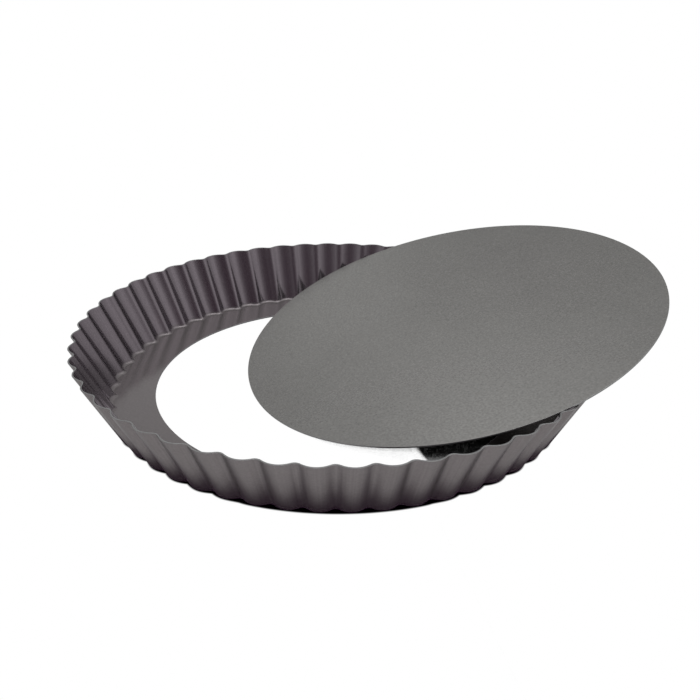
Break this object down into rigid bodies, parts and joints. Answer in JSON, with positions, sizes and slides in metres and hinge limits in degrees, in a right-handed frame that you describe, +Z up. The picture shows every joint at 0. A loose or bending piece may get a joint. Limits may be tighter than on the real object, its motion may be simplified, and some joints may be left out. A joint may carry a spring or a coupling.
{
  "type": "loose-bottom tart pan",
  "caption": "Fluted tart ring with a flat inward flange, and its loose round base plate taken out and leaning on the rim; in use the base lies on the flange.",
  "frame": {"origin": "on the table, at the middle of the box around the ring and the leaning base", "axes": "+Z up from the table; +X from the base's low edge to its raised edge, the way it leans; +Y completes a right-handed frame"},
  "size_m": [0.3166, 0.28, 0.0628],
  "materials": {
    "ring_coat": "satin dark grey non-stick coat on pressed steel",
    "base_coat": "satin dark grey non-stick coat on flat steel, fine speckle"
  },
  "bodies": {
    "ring": {"fluted_ring": "ring_coat"},
    "base": {"loose_base": "base_coat"}
  },
  "joints": [
    {"name": "base_lift", "type": "slide", "parent": "ring", "child": "base", "axis": [0, 0, 1], "range_m": [0, 0.1]}
  ]
}
